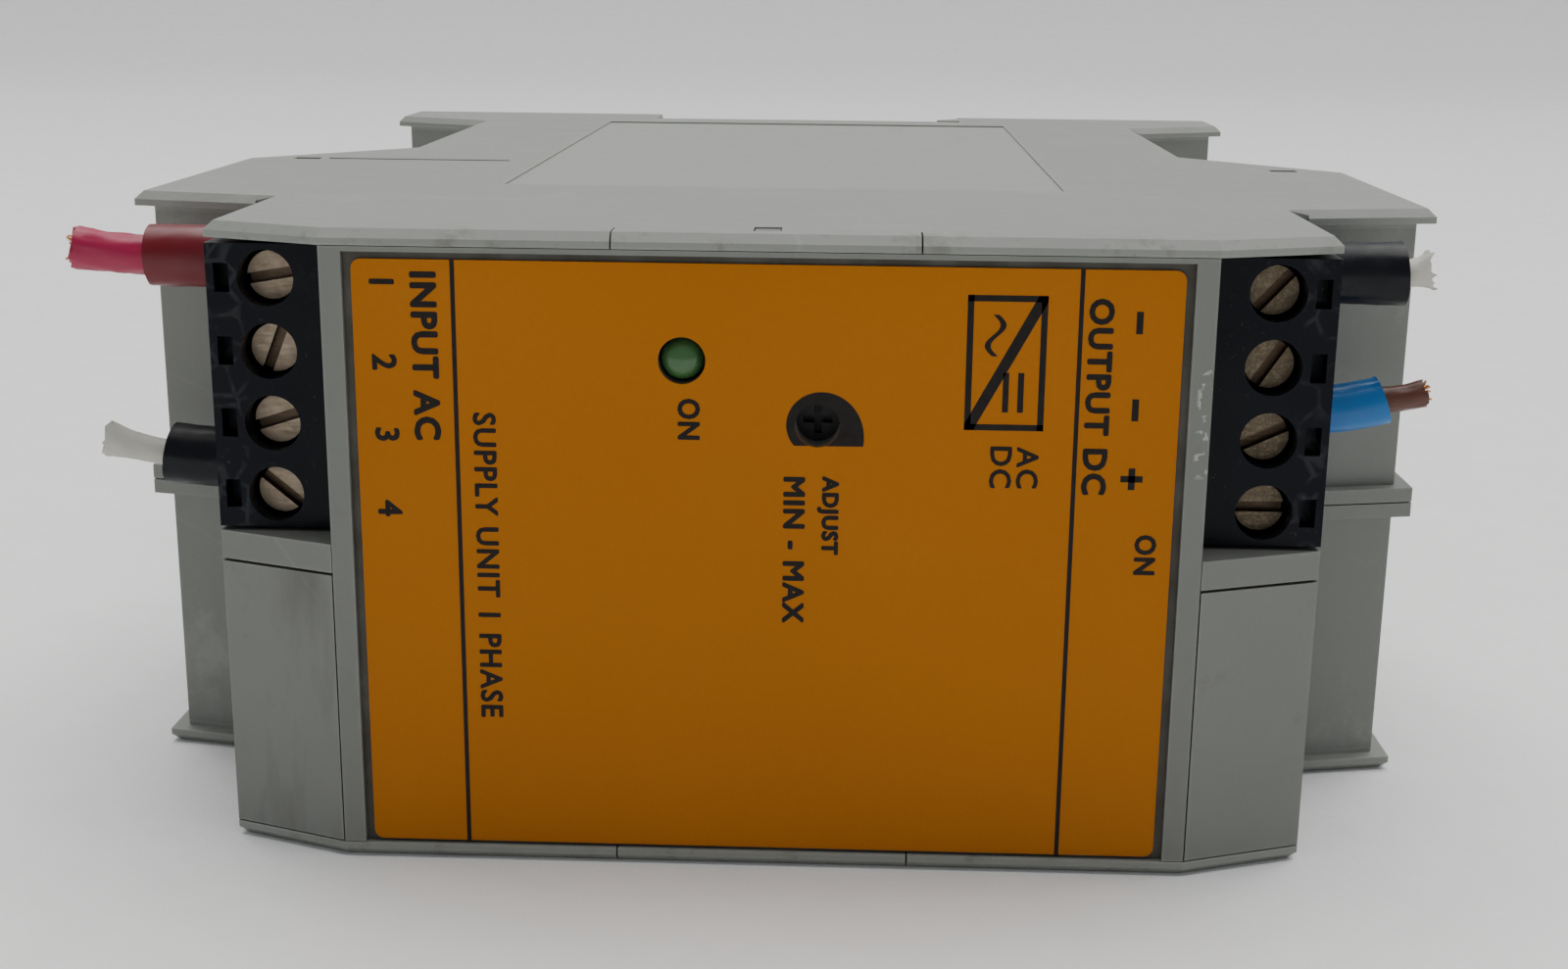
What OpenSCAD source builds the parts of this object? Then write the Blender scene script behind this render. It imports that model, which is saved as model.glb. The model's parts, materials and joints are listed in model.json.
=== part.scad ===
// DIN rail power supply in a modular electronics housing, lying on one side face.
// +X is the top of the mounted device, +Y points to the rail, +Z is the direction along the rail.
// The origin is the middle of the face that seats on the rail. Millimetres.

/* [Housing] */
// Height of the mounted device, over both shoulders
body_w = 99; // [96:1:120]
// Total depth, from the front face to the rear of the feet
body_l = 114.5; // [112:0.5:140]
// Width taken up along the rail
body_t = 45; // [44:0.5:56]
// Thickness of the two side plates
side_t = 1.1; // [0.9:0.1:1.6]
// Thickness of the end walls
wall = 2; // [1.6:0.1:2.4]
// How far the side plates stand out past the end walls
flange = 1.2; // [0.6:0.1:1.6]
// Height of the belt that covers the joint between the two half shells
belt_h = 2.3; // [1.8:0.1:2.6]
// Chamfer along the outer edges of the side plates
edge_c = 0.6; // [0.3:0.1:0.8]

/* [Rail] */
// Width of the top-hat rail
rail_w = 35; // [35]
// Depth of the top-hat rail
rail_d = 7.5; // [7.5]
// Thickness of the rail's flange
rail_t = 1; // [1:0.1:1.2]
// How far the hook and the latch reach over the rail's edges
rail_grip = 2.3; // [1.8:0.1:2.6]
// Travel of the rail latch
latch_travel = 4; // [3:0.5:4.5]

/* [Terminals] */
// Distance between neighbouring poles
pitch = 5.08; // [5:0.02:5.08]
// Diameter of the screw heads
screw_head_d = 3.4; // [3:0.1:3.6]
// Diameter of the screw shanks
screw_d = 2.6; // [2.2:0.1:2.6]
// Diameter of the wire entries
wire_hole_d = 3.9; // [3.4:0.1:4]
// Travel of the wire clamps
clamp_travel = 1; // [0.6:0.1:1]

/* [Front] */
// Depth of the recess that holds the front label
recess_d = 0.5; // [0.3:0.1:0.8]
// Diameter of the status lamp
led_d = 3; // [3:0.1:3.2]
// Diameter of the hole over the voltage adjuster
adjust_hole_d = 3; // [2.8:0.1:3.4]

/* [Clearances] */
// Gap between parts that are joined without moving
seam = 0.1; // [0.05:0.05:0.2]
// Gap between parts that slide past each other
slide_gap = 0.3; // [0.2:0.05:0.35]
// Radial gap of a shaft in its bore
run_gap = 0.05; // [0.02:0.01:0.1]
// Radial gap of a screw head in its hole
head_gap = 0.25; // [0.2:0.05:0.3]

/* [Hidden] */
$fn = 48;
eps = 0.01;

// Colours
grey = [0.66, 0.67, 0.64];
ochre = [0.84, 0.58, 0.24];
ink_blue = [0.12, 0.14, 0.19];
nickel = [0.72, 0.71, 0.67];
board_green = [0.10, 0.35, 0.22];

// Outline of the side view, from the front face to the rear feet
seat_y = body_l - rail_d;
half_w = body_w / 2;
front_hw = half_w - 11;
face_hw = front_hw - 8.7;
rear_hw = half_w - 12.4;
foot_hw = half_w - 1.7;
recess_hw = rail_w / 2 + 0.3;
land_hw = rail_w / 2 - rail_grip - 0.2;
land_h = 0.3;
bevel_y = 3.3;
shoulder_y = 18.6;
shoulder_drop = 2.4;
waist_y = 49.8;
neck_y = waist_y + 13.3;
foot_y = body_l - 15;

plate_in = body_t - side_t;

// Terminal plugs: the poles fill the upper half, counted from the top
plug_mid_z = body_t - 11.5;
plug_half = 2 * pitch - 0.16;
plug_top = plug_mid_z + plug_half;
plug_bottom = plug_mid_z - plug_half;
// Split between the half shells: its belt runs just below the plugs
split_z = plug_bottom - seam - belt_h / 2;
plug_x0 = face_hw + slide_gap;
plug_y1 = shoulder_y - slide_gap;
screw_x = front_hw - 4.1;
wire_y = 13.75;
nose_x0 = front_hw - 16.2;
pin_y = 11.5;
header_y0 = 5.8;
header_y1 = 17.2;
filler_top = split_z - belt_h / 2;

// Chamber of one pole in the plug, measured from the front face
chamber_y0 = 7.6;
chamber_half = 1.9;
bar_y = 11.6;
bar_t = 0.7;
cage_half = 1.65;
cage_y0 = 8;
clamped_d = 2;
clamped_y = bar_y + bar_t + 0.05 + clamped_d / 2;
cage_y1 = clamped_y + clamped_d / 2 + 1.1;
chamber_y1 = cage_y1 + clamp_travel + 0.6;
ledge_y = 6.9;
head_y = 5;

// Lamp and adjuster, seen from the front
led_x = -5.6;
led_z = body_t - 8.55;
adjust_x = 3.56;
adjust_z = body_t - 12.85;
rotor_d = 3.6;

// Boards
board_t = 1.6;
main_z = 3.6;
main_top = main_z + board_t;
main_y0 = 27;
main_hw = rear_hw - flange - wall - 0.3;
main_y1 = seat_y - wall - 1;
control_z = filler_top + 0.2;
control_top = control_z + board_t;
front_board_y = 6;
post_d = 6;
post_pin_d = 2.6;
control_posts = [for (s = [-1, 1]) [s * (face_hw + 0.2), shoulder_y + 4.9]];
main_posts = [for (s = [-1, 1], y = [main_y0 + 6, main_y1 - 4]) [s * (main_hw - 3.4), y]];

// Rail latch, in the foot on the input side
latch_y0 = seat_y + rail_t + 0.4;
latch_t = 3.8;
latch_half = 7.5;
latch_z = split_z + 0.25;
latch_out_x = foot_hw - 0.1;
latch_tip_x = rail_w / 2 - rail_grip;
stop_x = foot_hw - 7.9;
stop_t = 1.5;
spring_solid = 9;
spring_l = spring_solid + latch_travel;
spring_wire = 0.5;
spring_r = 1.35;
spring_turns = 6;

// Helpers -----------------------------------------------------------------------------------

function unit(v) = v / norm(v);
function inward(a, b) = let (d = unit(b - a)) [-d[1], d[0]];

// Moves edge i of a counter-clockwise outline inwards by moves[i]. Edge i starts at point i.
function inset(points, moves) = [
    for (i = [0:len(points) - 1])
        let (
            n = len(points),
            p = points[i],
            m1 = inward(points[(i + n - 1) % n], p),
            m2 = inward(p, points[(i + 1) % n]),
            e1 = moves[(i + n - 1) % n],
            e2 = moves[i],
            c = m1 * m2
        )
        p + (e1 * (m1 - c * m2) + e2 * (m2 - c * m1)) / (1 - c * c)
];

right_side = [
    [face_hw, 0],
    [front_hw, bevel_y],
    [front_hw, shoulder_y],
    [half_w, shoulder_y + shoulder_drop],
    [half_w, waist_y],
    [rear_hw, neck_y],
    [rear_hw, foot_y],
    [foot_hw, foot_y + 5],
    [foot_hw, body_l],
    [recess_hw, body_l],
    [recess_hw, seat_y - land_h],
    [land_hw, seat_y - land_h],
    [land_hw, seat_y],
];
n_side = len(right_side);
outline = concat(
    right_side,
    [for (i = [n_side - 1:-1:0]) [-right_side[i][0], right_side[i][1]]]
);
n_edges = len(outline);

// The end walls stand back by the flange from the shoulder to the feet, and are flush elsewhere
function is_end_edge(i) = (i >= 2 && i <= 7) || (i >= n_edges - 9 && i <= n_edges - 4);
wall_out = inset(outline, [for (i = [0:n_edges - 1]) is_end_edge(i) ? flange : 0]);
wall_in = inset(outline, [for (i = [0:n_edges - 1]) (is_end_edge(i) ? flange : 0) + wall]);
lip_in = inset(outline, [for (i = [0:n_edges - 1]) (is_end_edge(i) ? flange : 0) + wall + 0.9]);
lip_out = inset(outline, [for (i = [0:n_edges - 1]) (is_end_edge(i) ? flange : 0) + wall + 0.05]);

// From the front face and the resting side to the origin on the rail seat
module place() {
    translate([0, -seat_y, -body_t / 2]) children();
}

// side is 1 for the output end at +X and -1 for the input end at -X
module on_side(side) {
    if (side > 0) children();
    else mirror([1, 0, 0]) children();
}

// A box given by its two corners
module box(a, b) {
    translate(a) cube(b - a);
}

// A cylinder along Y from y0 to y1
module rod_y(x, z, d, y0, y1) {
    translate([x, y0, z]) rotate([-90, 0, 0]) cylinder(d = d, h = y1 - y0);
}

// A cylinder along X from x0 to x1
module rod_x(y, z, d, x0, x1) {
    translate([x0, y, z]) rotate([0, 90, 0]) cylinder(d = d, h = x1 - x0);
}

// A cylinder along Z from z0 to z1
module rod_z(x, y, d, z0, z1) {
    translate([x, y, z0]) cylinder(d = d, h = z1 - z0);
}

// Ring between two outlines, behind the shoulder
module ring(outer, inner, z0, z1) {
    difference() {
        translate([0, 0, z0]) linear_extrude(z1 - z0) polygon(outer);
        translate([0, 0, z0 - 1]) linear_extrude(z1 - z0 + 2) polygon(inner);
        box([-half_w - 1, -1, z0 - 1], [half_w + 1, shoulder_y, z1 + 1]);
    }
}

// Centre height of pole 1 (top) to 4
function pole_z(pole) = plug_mid_z + (2.5 - pole) * pitch;

// Housing -----------------------------------------------------------------------------------

// Side plate with the tongue slits, the snap window, the shallow side-label field and grip marks.
// z0 is its inner or lower face, out_z its outer face.
module side_plate(z0, out_z) {
    field_hw = 22.5;
    field_y0 = 30;
    shallow = 0.15;
    slit_x = 10.3;
    slit_hw = 0.06;
    slit_y1 = 2.6;
    window_hw = 0.95;
    mark_x = 43.9;
    mark_hw = 1.2;
    mark_deep = 0.4;
    groove = [-42, -25.5];
    difference() {
        translate([0, 0, z0]) linear_extrude(side_t) polygon(outline);
        edge_cut(z0, out_z);
        for (s = [-1, 1]) {
            box([s * slit_x - slit_hw, -1, z0 - 1], [s * slit_x + slit_hw, slit_y1, z0 + side_t + 1]);
            box(
                [s * mark_x - mark_hw, waist_y - 0.4, out_z - mark_deep],
                [s * mark_x + mark_hw, waist_y + 1.1, out_z + mark_deep]
            );
        }
        box([-window_hw, 1.9, z0 - 1], [window_hw, 4.1, z0 + side_t + 1]);
        box([-field_hw, field_y0, out_z - shallow], [field_hw, seat_y - 6, out_z + shallow]);
        box([groove[0], waist_y, out_z - mark_deep], [groove[1], waist_y + 1, out_z + mark_deep]);
    }
}

// Prisms that chamfer the plate's outer edges, all but those inside the rail recess
module edge_cut(z0, out_z) {
    up = out_z > z0 ? 1 : -1;
    for (i = [0:n_edges - 1]) {
        a = outline[i];
        d = outline[(i + 1) % n_edges] - a;
        if (i < n_side - 4 || i > n_edges - n_side + 2)
            translate([a[0], a[1], out_z]) rotate([0, 0, atan2(d[1], d[0])])
                translate([-corner_run(i), 0, 0]) rotate([90, 0, 90])
                    linear_extrude(norm(d) + corner_run(i) + corner_run((i + 1) % n_edges))
                        polygon([[-1, -up * (edge_c + 1)], [edge_c + 1, up], [-1, up]]);
    }
}

// How far a chamfer runs on past point i: over an outer corner, or just short of an inner one's mitre
function corner_run(i) =
    let (
        short = 0.03,
        p = outline[i],
        before = outline[(i + n_edges - 1) % n_edges],
        d1 = unit(p - before),
        d2 = unit(outline[(i + 1) % n_edges] - p)
    )
    inward(before, p) * d2 > 0 ? 1 : edge_c * tan(acos(d1 * d2) / 2) - short;

// Slots that let cooling air through the end walls above and below the shoulder
module vents(z0, z1) {
    slots = 5;
    step = 4.2;
    for (s = [-1, 1], i = [0:slots - 1]) {
        y = shoulder_y + 8 + i * step;
        box([s * half_w - 8, y, z0], [s * half_w + 8, y + 2, z1]);
    }
}

// The latch runs in this channel. It is cut from the wing's walls and from the guide.
module latch_channel() {
    g = slide_gap;
    box(
        [-half_w - 1, latch_y0 - g, latch_z - latch_half - g],
        [-recess_hw + 0.5, latch_y0 + latch_t + g, latch_z + latch_half + g]
    );
}

// Block that guides the latch, with the stop that holds the outer end of its spring
module latch_guide(z0, z1) {
    difference() {
        box(
            [-foot_hw + flange + wall - 0.2, latch_y0 - slide_gap - 1.6, z0],
            [-recess_hw - wall + 0.2, body_l - wall + 0.2, z1]
        );
        latch_channel();
    }
}

module latch_stop(z0, z1) {
    box([-stop_x - stop_t, latch_y0, z0], [-stop_x, latch_y0 + latch_t + slide_gap + 0.2, z1]);
}

// Fixed lip that hooks over the rail's edge at the output end
module rail_hook(z0, z1) {
    y0 = seat_y + rail_t + 0.3;
    translate([0, 0, z0]) linear_extrude(z1 - z0) polygon([
        [recess_hw + 0.5, y0],
        [rail_w / 2 - rail_grip, y0],
        [rail_w / 2 - rail_grip, y0 + 1.2],
        [recess_hw + 0.5, y0 + 4.4],
    ]);
}

module housing_lower() {
    z1 = split_z - seam / 2;
    color(grey) place() {
        difference() {
            union() {
                side_plate(0, 0);
                ring(wall_out, wall_in, side_t - eps, z1);
                ring(outline, wall_in, split_z - belt_h / 2, z1);
                ring(wall_in, lip_in, z1 - 1.2, z1);
                ring(lip_out, lip_in, z1 - eps, z1 + 1.1);
                latch_guide(latch_z - latch_half - slide_gap - 1.5, z1);
            }
            latch_channel();
            vents(side_t + 3, filler_top - 3);
        }
        latch_stop(latch_z - 2.6, z1);
        rail_hook(0, z1);
        for (p = control_posts) {
            rod_z(p[0], p[1], post_d, side_t - eps, control_z);
            rod_z(p[0], p[1], post_pin_d, control_z - eps, control_top + 0.8);
        }
        for (p = main_posts) {
            rod_z(p[0], p[1], post_d, side_t - eps, main_z);
            rod_z(p[0], p[1], post_pin_d, main_z - eps, main_top + 0.8);
        }
    }
}

module housing_upper() {
    z0 = split_z + seam / 2;
    color(grey) place() {
        difference() {
            union() {
                side_plate(plate_in, body_t);
                ring(wall_out, wall_in, z0, plate_in + eps);
                ring(outline, wall_in, z0, split_z + belt_h / 2);
                latch_guide(z0, latch_z + latch_half + slide_gap + 1.5);
            }
            latch_channel();
            ring(wall_in, lip_in, z0 - 1, z0 + 1.2);
            vents(split_z + belt_h / 2 + 3, plate_in - 3);
        }
        latch_stop(z0, latch_z + 2.6);
        rail_hook(z0, body_t);
        for (p = control_posts) {
            difference() {
                rod_z(p[0], p[1], post_d, control_top + 0.05, plate_in + eps);
                rod_z(p[0], p[1], post_pin_d + 0.3, control_top - 1, control_top + 1.2);
            }
        }
    }
}

// Cap over the front: face with its borders, skirts and the snap pips
module front_cover() {
    g = 0.05;
    face_t = 1.8;
    border = 1.5;
    recess_top = body_t - 1.5;
    skirt_hw = 18;
    color(grey) place() difference() {
        union() {
            box([-face_hw, 0, side_t + g], [face_hw, recess_d + face_t, plate_in - g]);
            for (s = [-1, 1]) on_side(s) {
                box([face_hw - border, 0, side_t + g], [face_hw, 5.2, plate_in - g]);
            }
            for (z = [side_t + g, plate_in - g - 1.2]) {
                box([-skirt_hw, recess_d, z], [skirt_hw, 8, z + 1.2]);
            }
            box([-0.85, 2, 0.1], [0.85, 4, body_t - 0.1]);
        }
        box([-face_hw + border, -1, -1], [face_hw - border, recess_d, recess_top]);
        box([-2, recess_d + face_t, side_t + 1.3], [2, 9, plate_in - 1.3]);
        rod_y(led_x, led_z, led_d + 0.2, -1, 4);
        rod_y(adjust_x, adjust_z, adjust_hole_d, -1, 4);
    }
}

// Bars between the terminals and the fillers, which carry the belt on round to the face
module cover_dividers() {
    g = 0.05;
    slope = bevel_y / (front_hw - face_hw);
    y1 = shoulder_y - 0.2;
    color(grey) place() for (s = [-1, 1]) on_side(s)
        translate([0, 0, filler_top + g]) linear_extrude(belt_h - 0.25) polygon([
            [face_hw + g, g * slope],
            [front_hw, bevel_y],
            [front_hw, y1],
            [face_hw + g, y1],
        ]);
}

// Printed plate in the recess of the face
module front_label() {
    hw = face_hw - 2.1;
    z0 = side_t + 0.25;
    z1 = body_t - 2;
    r = 0.7;
    t = 0.25;
    y0 = recess_d - t;
    color(ochre) place() difference() {
        union() {
            box([-hw + r, y0, z0], [hw - r, recess_d, z1]);
            box([-hw, y0, z0 + r], [hw, recess_d, z1 - r]);
            for (s = [-1, 1], z = [z0 + r, z1 - r]) rod_y(s * (hw - r), z, 2 * r, y0, recess_d);
        }
        rod_y(led_x, led_z, led_d + 0.2, -1, 4);
        rod_y(adjust_x, adjust_z, adjust_hole_d, -1, 4);
    }
}

// Blank plate over the unused terminal position. It follows the bevel and the end face.
module filler(side) {
    g = 0.1;
    t = 1.8;
    slope = bevel_y / (front_hw - face_hw);
    y1 = shoulder_y - 0.25;
    color(grey) place() on_side(side) {
        translate([0, 0, side_t + 0.1]) linear_extrude(filler_top - side_t - 0.25) polygon([
            [face_hw + g, g * slope],
            [front_hw, bevel_y],
            [front_hw, y1],
            [front_hw - t, y1],
            [front_hw - t, bevel_y + t * 0.8],
            [face_hw + g, g * slope + t],
        ]);
        for (z = [side_t + 3, filler_top - 5]) {
            box([face_hw + g, 1, z], [face_hw + g + 1.2, 8, z + 2]);
        }
    }
}

// Lamp and adjuster -------------------------------------------------------------------------

module status_led() {
    front_y = 0;
    r = led_d / 2;
    color([0.06, 0.22, 0.12]) place() {
        rod_y(led_x, led_z, led_d, front_y + r, front_board_y - 1);
        translate([led_x, front_y + r, led_z]) sphere(r = r);
        rod_y(led_x, led_z, led_d + 0.8, front_board_y - 1.2, front_board_y);
        for (s = [-1, 1]) box(
            [led_x + s * 1.27 - 0.25, front_board_y - eps, led_z - 0.25],
            [led_x + s * 1.27 + 0.25, front_board_y + board_t + 1, led_z + 0.25]
        );
    }
}

module adjust_pot() {
    half = 3.4;
    y0 = recess_d + 2;
    color([0.10, 0.20, 0.42]) place() difference() {
        union() {
            box([adjust_x - half, y0, adjust_z - half], [adjust_x + half, front_board_y, adjust_z + half]);
            for (i = [-1, 0, 1]) box(
                [adjust_x + i * 2.54 - 0.25, front_board_y - eps, adjust_z - 2.3],
                [adjust_x + i * 2.54 + 0.25, front_board_y + board_t + 1, adjust_z - 1.8]
            );
        }
        rod_y(adjust_x, adjust_z, rotor_d + 2 * run_gap, y0 - 1, front_board_y - 0.6);
    }
}

module adjust_rotor() {
    y0 = recess_d + 1.9;
    y1 = front_board_y - 0.9;
    color([0.13, 0.13, 0.14]) place() difference() {
        rod_y(adjust_x, adjust_z, rotor_d, y0, y1);
        box([adjust_x - 1, y0 - 1, adjust_z - 0.25], [adjust_x + 1, y0 + 0.7, adjust_z + 0.25]);
        box([adjust_x - 0.25, y0 - 1, adjust_z - 1], [adjust_x + 0.25, y0 + 0.7, adjust_z + 1]);
    }
}

// Terminals ---------------------------------------------------------------------------------

// Pluggable four-pole body: head with the screws, nose with the sockets
module plug(side) {
    nose_half = plug_half - 0.9;
    pocket_x = screw_x + 2.5;
    pocket_w = 1.05;
    pocket_half = 1;
    pocket_deep = 1.4;
    color(ink_blue) place() on_side(side) difference() {
        union() {
            box([plug_x0, bevel_y, plug_bottom], [front_hw, plug_y1, plug_top]);
            box([nose_x0, 7.3, plug_mid_z - nose_half], [plug_x0 + eps, 15.7, plug_mid_z + nose_half]);
        }
        for (pole = [1:4]) {
            z = pole_z(pole);
            // Chamber of the clamp, and the way in for the screw
            box([screw_x - 2.5, chamber_y0, z - chamber_half], [screw_x + 2.5, chamber_y1, z + chamber_half]);
            rod_y(screw_x, z, screw_d + 2 * run_gap, bevel_y - 1, chamber_y0 + 1);
            rod_y(screw_x, z, screw_head_d + 2 * head_gap, bevel_y - 1, ledge_y);
            // Wire entry, socket and test pocket
            rod_x(wire_y, z, wire_hole_d, screw_x + 2.4, front_hw + 1);
            box([nose_x0 - 1, pin_y - 0.9, z - 1.2], [screw_x - 2, pin_y + 0.9, z + 1.2]);
            box(
                [pocket_x, bevel_y - 1, z - pocket_half],
                [pocket_x + pocket_w, bevel_y + pocket_deep, z + pocket_half]
            );
        }
    }
}

// Current bars of the four poles, each ending in a two-armed socket for the header's pin
module contacts(side) {
    socket_x0 = nose_x0 + 0.6;
    socket_x1 = socket_x0 + 6.4;
    color(nickel) place() on_side(side) for (pole = [1:4]) {
        z = pole_z(pole);
        box([socket_x1 - eps, bar_y - 0.6, z - 0.95], [screw_x - 2.3, bar_y, z + 0.95]);
        box([socket_x1 + 0.5, bar_y - eps, z - 0.95], [screw_x + 2.1, bar_y + bar_t, z + 0.95]);
        for (y = [pin_y - 0.85, pin_y + 0.55]) box([socket_x0, y, z - 0.95], [socket_x1, y + 0.3, z + 0.95]);
        box([socket_x1 - 0.3, pin_y - 0.85, z - 0.95], [socket_x1 + 0.6, pin_y + 0.85, z + 0.95]);
    }
}

// Slotted clamping screw of one pole
module terminal_screw(side, pole) {
    z = pole_z(pole);
    head_t = 1.6;
    slot_w = 0.75;
    slot_deep = 0.7;
    slot_turn = side > 0 ? [-48, -57, -25, 0] : [10, 68, 18, -40];
    color(nickel) place() on_side(side) difference() {
        union() {
            rod_y(screw_x, z, screw_head_d, head_y, head_y + head_t);
            rod_y(screw_x, z, screw_d, head_y + head_t - eps, bar_y - 0.15);
        }
        translate([screw_x, head_y - 1, z]) rotate([0, slot_turn[pole - 1], 0])
            box([-screw_head_d, 0, -slot_w / 2], [screw_head_d, 1 + slot_deep, slot_w / 2]);
    }
}

// Rising cage that presses the wire against the current bar
module clamp(side, pole) {
    z = pole_z(pole);
    side_wall = 0.55;
    plate = 2.2;
    color([0.62, 0.60, 0.52]) place() on_side(side) difference() {
        box([screw_x - 2.1, cage_y0, z - cage_half], [screw_x + 2.1, cage_y1, z + cage_half]);
        box(
            [screw_x - 3, cage_y0 + plate, z - cage_half + side_wall],
            [screw_x + 3, cage_y1 - 1, z + cage_half - side_wall]
        );
        rod_y(screw_x, z, screw_d + 2 * run_gap, cage_y0 - 1, bar_y + 0.1);
    }
}

// Shroud that takes the plug's nose, standing on the control board
module header(side) {
    x0 = nose_x0 - 1.8;
    x1 = face_hw - 0.1;
    z0 = control_top + 0.05;
    z1 = plate_in - 0.1;
    color(ink_blue) place() on_side(side) difference() {
        box([x0, header_y0, z0], [x1, header_y1, z1]);
        box([nose_x0 - 0.3, 7, plug_mid_z - plug_half + 0.6], [x1 + 1, 16, plug_mid_z + plug_half - 0.6]);
        for (pole = [1:4]) {
            z = pole_z(pole);
            box([x0 - 1, pin_y - 0.5, z - 0.5], [x0 + 3, pin_y + 0.5, z + 0.5]);
        }
    }
}

// Bent pins of the header, each soldered through the control board
module header_pins(side) {
    half = 0.48;
    tip_x = nose_x0 + 6;
    color(nickel) place() on_side(side) for (pole = [1:4]) {
        z = pole_z(pole);
        leg_x = nose_x0 - 3.8 - (4 - pole) * 2.1;
        box([leg_x - half, pin_y - half, z - half], [tip_x, pin_y + half, z + half]);
        box([leg_x - half, pin_y - half, control_z - 1.2], [leg_x + half, pin_y + half, z]);
    }
}

// Cut ends of the wires ---------------------------------------------------------------------

module wire_sleeve(side, pole, d, bore, end_x, c) {
    z = pole_z(pole);
    color(c) place() on_side(side) difference() {
        rod_x(wire_y, z, d, front_hw + 0.05, end_x);
        rod_x(wire_y, z, bore, front_hw - 1, end_x + 1);
    }
}

// Conductor inside the clamp, then the bared or insulated end past the sleeve
module wire_core(side, pole, d, end_x, c) {
    z = pole_z(pole);
    color(c) place() on_side(side) {
        rod_x(clamped_y, z, clamped_d, screw_x - 1.8, front_hw - 0.5);
        rod_x(wire_y, z, d, front_hw - 1, end_x);
    }
}

// Boards and what they carry ----------------------------------------------------------------

module main_board() {
    color(board_green) place() difference() {
        box([-main_hw, main_y0, main_z], [main_hw, main_y1, main_top]);
        for (p = main_posts) rod_z(p[0], p[1], post_pin_d + 0.3, main_z - 1, main_top + 1);
    }
}

module control_board() {
    hole_d = 1.6;
    color(board_green) place() difference() {
        union() {
            box([-face_hw + 1.7, 4.2, control_z], [face_hw - 1.7, 20, control_top]);
            box([-main_hw, 19, control_z], [main_hw, 31, control_top]);
        }
        for (p = control_posts) rod_z(p[0], p[1], post_pin_d + 0.3, control_z - 1, control_top + 1);
        for (s = [-1, 1], pole = [1:4])
            rod_z(s * (nose_x0 - 3.8 - (4 - pole) * 2.1), pin_y, hole_d, control_z - 1, control_top + 1);
    }
}

module front_board() {
    y1 = front_board_y + board_t;
    color(board_green) place() difference() {
        box([-11, front_board_y, control_top + 0.05], [11, y1, body_t - 4.5]);
        for (s = [-1, 1]) rod_y(led_x + s * 1.27, led_z, 0.9, front_board_y - 1, y1 + 1);
        for (i = [-1, 0, 1]) rod_y(adjust_x + i * 2.54, adjust_z - 2.05, 0.9, front_board_y - 1, y1 + 1);
    }
}

module fuse() {
    y = main_y0 + 5;
    z = main_top + 5;
    x0 = 7.6 - main_hw;
    l = 20;
    color([0.85, 0.83, 0.76]) place() {
        rod_x(y, z, 4.8, x0, x0 + l);
        for (x = [x0, x0 + l - 5]) {
            rod_x(y, z, 5.2, x, x + 5);
            box([x + 1, y - 2.2, main_top], [x + 4, y + 2.2, z]);
        }
    }
}

module line_choke() {
    c = [11.6 - main_hw, main_y0 + 21];
    h = 16;
    color([0.62, 0.36, 0.16]) place() difference() {
        union() {
            box([c[0] - 9, c[1] - 9, main_top], [c[0] + 9, c[1] + 9, main_top + h]);
            for (s = [-1, 1]) rod_y(c[0] + s * 6, main_top + h / 2, 10, c[1] - 6, c[1] + 6);
        }
        box([c[0] - 2.2, c[1] - 5.5, main_top - 1], [c[0] + 2.2, c[1] + 5.5, main_top + h + 1]);
    }
}

module x_capacitor() {
    x0 = 1.6 - main_hw;
    color([0.90, 0.74, 0.20]) place()
        box([x0, main_y0 + 33, main_top], [x0 + 18, main_y0 + 41, main_top + 14]);
}

module bridge_rectifier() {
    x0 = 2.6 - main_hw;
    color([0.10, 0.10, 0.11]) place() {
        box([x0, main_y0 + 45, main_top + 3], [x0 + 20, main_y0 + 48.5, main_top + 18]);
        for (i = [0:3]) box(
            [x0 + 2.5 + i * 5, main_y0 + 46.3, main_top],
            [x0 + 3.5 + i * 5, main_y0 + 47.2, main_top + 3.1]
        );
    }
}

module bulk_capacitor() {
    c = [10.1 - main_hw, main_y0 + 62];
    color([0.16, 0.20, 0.34]) place() difference() {
        rod_z(c[0], c[1], 18, main_top, main_top + 33);
        for (a = [0, 90]) translate([c[0], c[1], main_top + 33]) rotate([0, 0, a])
            box([-6, -0.3, -0.4], [6, 0.3, 1]);
    }
}

// Finned aluminium plate that cools one power component
module heatsink(x, y0, length, height, side) {
    fins = 4;
    color([0.70, 0.71, 0.73]) place() {
        box([x - 1, y0, main_top], [x + 1, y0 + length, main_top + height]);
        for (i = [0:fins - 1]) {
            y = y0 + i * (length - 1.2) / (fins - 1);
            box([min(x, x + side * 5), y, main_top + 4], [max(x, x + side * 5), y + 1.2, main_top + height]);
        }
    }
}

primary_x = -7;
primary_y0 = main_y0 + 50;
secondary_x = main_hw - 7.6;
secondary_y0 = main_y0 + 31.5;

module primary_heatsink() {
    heatsink(primary_x, primary_y0, 20, 30, 1);
}

module secondary_heatsink() {
    heatsink(secondary_x, secondary_y0, 26, 28, 1);
}

// Package on three legs, flat against the plain face of its heatsink
module power_package(x, y, lift) {
    color([0.12, 0.12, 0.13]) place() {
        box([x - 5.6, y - 5, main_top + lift], [x - 1.05, y + 5, main_top + lift + 15.5]);
        for (i = [-1, 0, 1]) box(
            [x - 3.6, y + i * 2.54 - 0.4, main_top],
            [x - 2.9, y + i * 2.54 + 0.4, main_top + lift + eps]
        );
    }
}

module primary_transistor() {
    power_package(primary_x, primary_y0 + 6, 5);
}

module output_rectifier() {
    power_package(secondary_x, secondary_y0 + 14, 5);
}

core_x = 8;
core_y = main_y0 + 33;
core_h = 26;

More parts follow.
